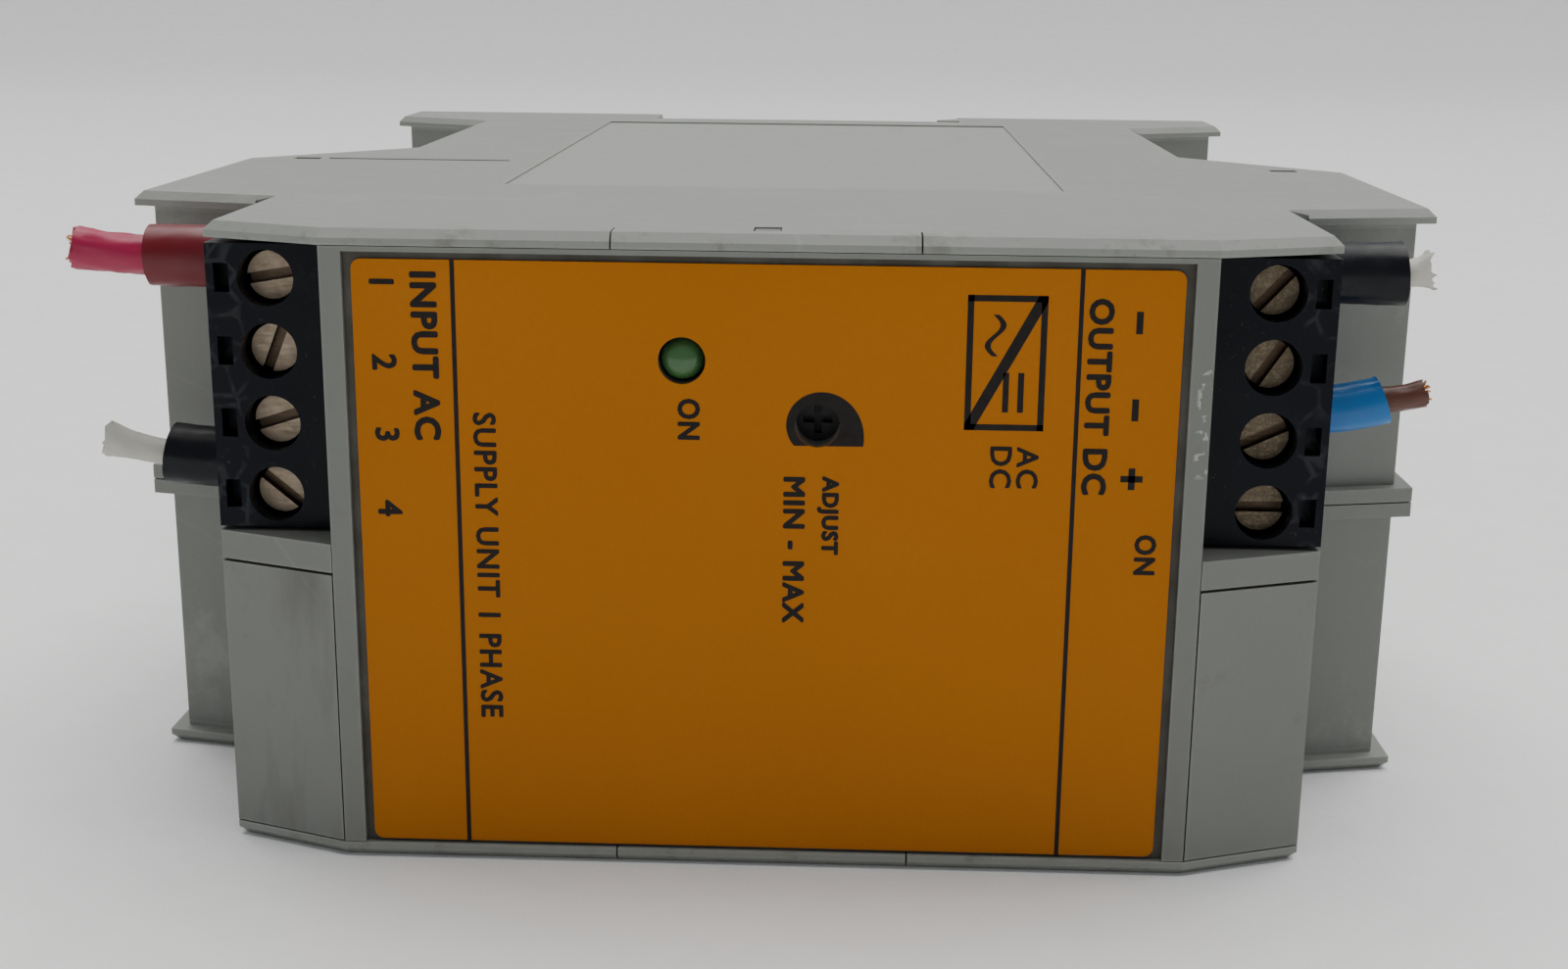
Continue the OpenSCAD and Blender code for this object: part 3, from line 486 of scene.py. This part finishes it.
def add_text(bm, words, x0, x1, z_top, z_end, bold=0.07):
    """Words that read downwards: letter feet at x0, letter tops at x1, from z_top to z_end at most.

    The stroke is made bolder by laying eight more copies round the first, each on its own level.
    """
    curve = bpy.data.curves.new("words", "FONT")
    curve.body = words
    curve.resolution_u = 3
    curve.space_character = 1.12
    holder = bpy.data.objects.new("words", curve)
    bpy.context.scene.collection.objects.link(holder)
    mesh = bpy.data.meshes.new_from_object(holder.evaluated_get(bpy.context.evaluated_depsgraph_get()))
    bpy.data.objects.remove(holder)
    bpy.data.curves.remove(curve)
    left = min(v.co.x for v in mesh.vertices)
    foot = min(v.co.y for v in mesh.vertices)
    run = max(v.co.x for v in mesh.vertices) - left
    scale = (x1 - x0 - 2 * bold) / (max(v.co.y for v in mesh.vertices) - foot)
    squeeze = min(1.0, (z_top - z_end) / (run * scale))
    for copy in range(9):
        turn = copy * math.pi / 4
        dx, dz = (bold * math.cos(turn), bold * math.sin(turn)) if copy else (0, 0)
        lift = INK_T + copy * 0.001 * MM
        verts = []
        for v in mesh.vertices:
            along = (v.co.x - left) * scale * squeeze
            up = (v.co.y - foot) * scale
            verts.append(bm.verts.new(on_label(x0 + bold + up + dx, z_top - along + dz, lift)))
        for poly in mesh.polygons:
            bm.faces.new([verts[i] for i in poly.vertices])
    bpy.data.meshes.remove(mesh)


def label_print():
    """All ink on the label: two rules, the terminals' signs, plain words, the turn-up mark and a symbol."""
    rule_x, rule_half, rule_low, rule_high = 20.9, 0.15, 1.3, 43.0
    bm = bmesh.new()
    for x in (-rule_x, rule_x):
        add_bar(bm, x - rule_half, rule_low, x + rule_half, rule_high)
    add_text(bm, "INPUT AC", -23.8, -21.95, 42.1, 25.0, 0.10)
    for i in range(4):
        z = 41.6 - i * PITCH
        add_text(bm, str(i + 1), -26.5, -24.8, z, z - 1.6)
    add_text(bm, "SUPPLY UNIT 1 PHASE", -19.8, -18.2, 32.6, 10.8, 0.06)
    add_text(bm, "ON", -5.9, -4.35, 33.8, 31.1)
    add_text(bm, "ADJUST", 3.6, 5.1, 28.6, 21.0, 0.08)
    add_text(bm, "MIN - MAX", 1.3, 2.8, 28.5, 17.0, 0.08)
    add_text(bm, "OUTPUT DC", 21.4, 23.1, 41.0, 22.6, 0.09)
    add_text(bm, "AC", 17.0, 18.5, 30.9, 27.0, 0.05)
    add_text(bm, "DC", 15.2, 16.7, 30.9, 27.0, 0.05)
    for z in (39.5, 33.6):
        add_bar(bm, 24.55, z - 0.75, 25.0, z + 0.75)
    add_bar(bm, 24.55, 28.1, 25.0, 29.6)
    add_bar(bm, 24.03, 28.63, 25.52, 29.07)
    add_text(bm, "ON", 25.2, 26.7, 24.9, 22.2)
    snail(bm)
    converter_sign(bm)
    new_piece("label_print", bm, INK, "housing")


def snail(bm):
    """Turn-up mark round the adjuster's hole: a band that widens clockwise, with a flat foot."""
    cx, cz, hole, foot, steps = 3.56, 32.15, 1.5, -1.4, 44
    start, end = math.radians(222), math.radians(-24)
    foot_a = math.asin(foot / hole)
    outer, inner = [], []
    for i in range(steps + 1):
        t = i / steps
        a = start + (end - start) * t
        r = 2.1 + 1.3 * t ** 3
        outer.append((cx + r * math.cos(a), cz + max(foot, r * math.sin(a))))
        b = math.pi - foot_a + (2 * foot_a - math.pi) * t
        inner.append((cx + hole * math.cos(b), cz + hole * math.sin(b)))
    for i in range(steps):
        add_outline(bm, [outer[i], outer[i + 1], inner[i + 1], inner[i]])


def converter_sign(bm):
    """Generic converter symbol: a framed box, split by a diagonal, with a wave and two bars."""
    x0, x1, z0, z1, w = 13.4, 18.7, 32.05, 41.2, 0.42
    add_bar(bm, x0, z0, x0 + w, z1)
    add_bar(bm, x1 - w, z0, x1, z1)
    add_bar(bm, x0, z0, x1, z0 + w)
    add_bar(bm, x0, z1 - w, x1, z1)
    add_outline(bm, [(x0, z0), (x0 + 0.6, z0), (x1, z1 - 0.4), (x1, z1), (x1 - 0.6, z1), (x0, z0 + 0.4)])
    for x in (16.9, 15.9):
        add_bar(bm, x, 33.3, x + 0.4, 36.0)
    centre, steps = (15.3, 38.5), 24
    for i in range(steps):
        run = [(i + k) / steps for k in (0, 1)]
        top = [(centre[0] + 0.5 * math.sin(2 * math.pi * r) + 0.2, centre[1] + 1.4 - 2.8 * r) for r in run]
        low = [(x - 0.4, z) for x, z in top]
        add_outline(bm, [top[0], top[1], low[1], low[0]])


label_print()


# --- Wires ---------------------------------------------------------------------------------------

def sweep(bm, path, radii, sides=28, wobble=0.0, seed=0, squash=None, cap=(True, True), ragged=0.0):
    """A tube along path. radii gives one radius for each point; squash gives (across, tall) factors."""
    rings = []
    n = len(path)
    for i, p in enumerate(path):
        ahead = path[min(i + 1, n - 1)] - path[max(i - 1, 0)]
        d = ahead.normalized()
        side = d.cross(Vector((0, 0, 1))).normalized()
        up = side.cross(d).normalized()
        wide, tall = squash[i] if squash else (1, 1)
        ring = []
        for k in range(sides):
            a = 2 * math.pi * k / sides
            r = radii[i] * (1 + wobble * mnoise.noise(Vector((i * 0.35, k * 0.6, seed))))
            q = p + side * (r * wide * math.cos(a)) + up * (r * tall * math.sin(a))
            if ragged and i == n - 1:
                q += d * ragged * mnoise.noise(Vector((k * 0.9, seed * 3.1, 2.0)))
            ring.append(bm.verts.new(q))
        rings.append(ring)
    for a, b in zip(rings, rings[1:]):
        for k in range(sides):
            j = (k + 1) % sides
            bm.faces.new((a[k], a[j], b[j], b[k]))
    if cap[0]:
        bm.faces.new(rings[0])
    if cap[1]:
        bm.faces.new(rings[-1])
    return rings


def sleeve(node, material, body, end_rise=0.0, cut_lean=0.0, seed=1, extra=0.0):
    """An outer sheath cut off square: an open tube with a thick wall, slightly out of round."""
    low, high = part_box(node)
    sx = 1 if low.x > 0 else -1
    x0, x1 = (low.x, high.x) if sx > 0 else (high.x, low.x)
    cy, cz, r = (low.y + high.y) / 2, (low.z + high.z) / 2, (high.z - low.z) / 2
    core_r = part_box(node.replace("sleeve", "core"))
    core_r = (core_r[1].z - core_r[0].z) / 2 + 0.05 * MM
    bm = bmesh.new()
    steps = 14
    sides = 36
    shares = [i / steps for i in range(steps + 1)]
    path = [Vector((x0 + (x1 - x0) * t, cy, cz + end_rise * t * t)) for t in shares]
    outer = sweep(bm, path, [r * (0.985 + extra * t ** 2) for t in shares],
                  sides, 0.025, seed, cap=(False, False))
    inner = sweep(bm, path, [core_r * (1.04 + 0.05 * t) for t in shares],
                  sides, 0.02, seed + 5, cap=(False, False))
    for ring in (outer[-1], inner[-1]):
        for v in ring:
            v.co.x += cut_lean * (v.co.z - cz) * sx
    for a, b in ((outer[0], inner[0]), (outer[-1], inner[-1])):
        for k in range(sides):
            j = (k + 1) % sides
            bm.faces.new((a[k], a[j], b[j], b[k]))
    smooth(new_piece(node + "_cut", bm, material, body, [node]))


def strands(bm, at, direction, count, length, spread, r, seed):
    """Fine wires that fan out of a cut conductor."""
    gen = random.Random(seed)
    for _ in range(count):
        ang = gen.uniform(0, 2 * math.pi)
        rad = gen.uniform(0, spread)
        side = Vector((0, math.cos(ang), math.sin(ang)))
        start = at + side * rad
        reach = length * gen.uniform(0.5, 1.0)
        bend = side * gen.uniform(0.0, 0.5) * spread
        path = [start + direction * reach * t + bend * t * t for t in (0, 0.35, 0.7, 1.0)]
        sweep(bm, path, [r] * 4, 8)


def core(node, material, body, rise, tip, flare, seed, strand=None):
    """The conductor's insulation past the sheath, bent and torn at its end, with its clamped end."""
    low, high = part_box(node)
    sx = 1 if low.x > 0 else -1
    sleeve_low, sleeve_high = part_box(node.replace("core", "sleeve"))
    cz = (sleeve_low.z + sleeve_high.z) / 2
    cy = (sleeve_low.y + sleeve_high.y) / 2
    r = (high.z - low.z) / 2
    start = (sleeve_low.x + 1 * MM) if sx > 0 else (sleeve_high.x - 1 * MM)
    end = high.x if sx > 0 else low.x
    exit_x = sleeve_high.x if sx > 0 else sleeve_low.x
    bm = bmesh.new()
    path, radii, shape = [], [], []
    steps = 22
    for i in range(steps + 1):
        t = i / steps
        x = start + (end - start) * t
        past = max(0.0, (x - exit_x) / (end - exit_x))
        z = cz + rise * min(1, t * 1.6) + tip[1] * past ** 1.6
        path.append(Vector((x, cy + tip[0] * past ** 2, z)))
        grow = 1 + flare * past ** 3
        radii.append(r * 0.97)
        shape.append((1 / max(0.75, grow ** 0.5), grow))
    sweep(bm, path, radii, 32, 0.10, seed, shape, ragged=0.6 * MM)
    wire_x0 = low.x if sx > 0 else high.x
    entry = Vector((wire_x0, cy - 0.4 * MM, (low.z + high.z) / 2))
    inside = [entry, Vector((start, cy - 0.4 * MM, (low.z + high.z) / 2))]
    sweep(bm, inside, [0.98 * MM] * 2, 20)
    smooth(new_piece(node + "_torn", bm, material, body, [node]), 50)
    if strand:
        bm = bmesh.new()
        strands(bm, path[-2], Vector((sx, 0, 0.12)), strand["count"], strand["length"], r * 0.72,
                strand["r"], seed)
        smooth(new_piece(node + "_strands", bm, strand["material"], body), 60)


def wires():
    sleeve("input_wire_1_sleeve", RED, "input_plug", 0.0, 0.02, 1)
    core("input_wire_1_core", PINK, "input_plug", 0.0, (0, 0.5 * MM), 0.10, 3,
         strand={"count": 26, "length": 1.1 * MM, "r": 0.09 * MM, "material": COPPER})
    sleeve("input_wire_4_sleeve", SLEEVE_BLACK, "input_plug", 0.35 * MM, -0.06, 2)
    core("input_wire_4_core", WHITE, "input_plug", 0.35 * MM, (0, 1.0 * MM), 0.45, 4)
    sleeve("output_wire_1_sleeve", SLEEVE_BLACK, "output_plug", 0.0, -0.08, 5, 0.04)
    core("output_wire_1_core", WHITE, "output_plug", 0.0, (0, 0.3 * MM), 0.55, 6)
    sleeve("output_wire_3_sleeve", BLUE, "output_plug", 0.9 * MM, -0.08, 7)
    core("output_wire_3_core", BROWN, "output_plug", 0.9 * MM, (0, 0.5 * MM), 0.05, 8,
         strand={"count": 14, "length": 0.9 * MM, "r": 0.09 * MM, "material": COPPER})


wires()


# --- Floor, lights, camera -----------------------------------------------------------------------

def floor():
    """A pale sweep: a flat floor that curves up far behind the object."""
    z0 = CAD_BOX[0].z
    bm = bmesh.new()
    profile = [(-1.5, 0.0), (0.9, 0.0)]
    for i in range(1, 13):
        a = math.radians(90 * i / 12)
        profile.append((0.9 + 0.6 * math.sin(a), 0.6 * (1 - math.cos(a))))
    profile.append((1.5, 1.8))
    rows = [[bm.verts.new((x, y, z0 + z)) for x in (-2.2, 2.2)] for y, z in profile]
    for a, b in zip(rows, rows[1:]):
        bm.faces.new((a[0], a[1], b[1], b[0]))
    mesh = bpy.data.meshes.new("floor")
    bm.to_mesh(mesh)
    bm.free()
    mesh.materials.append(FLOOR)
    obj = bpy.data.objects.new("floor", mesh)
    for poly in mesh.polygons:
        poly.use_smooth = True
    bpy.context.scene.collection.objects.link(obj)


def lights():
    """A bright soft sky, with one very large soft source above and a little behind the object."""
    world = bpy.data.worlds.new("studio")
    world.use_nodes = True
    background = world.node_tree.nodes["Background"]
    background.inputs[0].default_value = (0.94, 0.97, 1.0, 1)
    background.inputs[1].default_value = 0.34
    bpy.context.scene.world = world
    data = bpy.data.lights.new("overhead", "SUN")
    data.energy = 4.6
    data.angle = math.radians(75)
    data.color = (1.0, 0.99, 0.97)
    obj = bpy.data.objects.new("overhead", data)
    obj.rotation_mode = "QUATERNION"
    obj.rotation_quaternion = Vector((-0.10, -0.45, -1)).to_track_quat("-Z", "Y")
    bpy.context.scene.collection.objects.link(obj)


def camera():
    """Placed at the photograph's viewing angle. The lens is for a 36 mm wide sensor."""
    at = Vector((5.925, -238.09, 39.12)) * MM
    yaw, pitch, roll = (math.radians(a) for a in (-1.995, 14.336, 0.585))
    forward = Vector((math.sin(yaw) * math.cos(pitch), math.cos(yaw) * math.cos(pitch), -math.sin(pitch)))
    right = Vector((math.cos(yaw), -math.sin(yaw), 0))
    up = right.cross(forward)
    right2 = math.cos(roll) * right + math.sin(roll) * up
    up2 = -math.sin(roll) * right + math.cos(roll) * up
    data = bpy.data.cameras.new("camera")
    data.sensor_width = 36
    data.lens = 45.88
    data.clip_start, data.clip_end = 0.01, 20
    obj = bpy.data.objects.new("camera", data)
    turn = Matrix((right2, up2, -forward)).transposed().to_4x4()
    obj.matrix_world = Matrix.Translation(at) @ turn
    bpy.context.scene.collection.objects.link(obj)
    bpy.context.scene.camera = obj


floor()
lights()
camera()

bpy.context.view_layer.update()
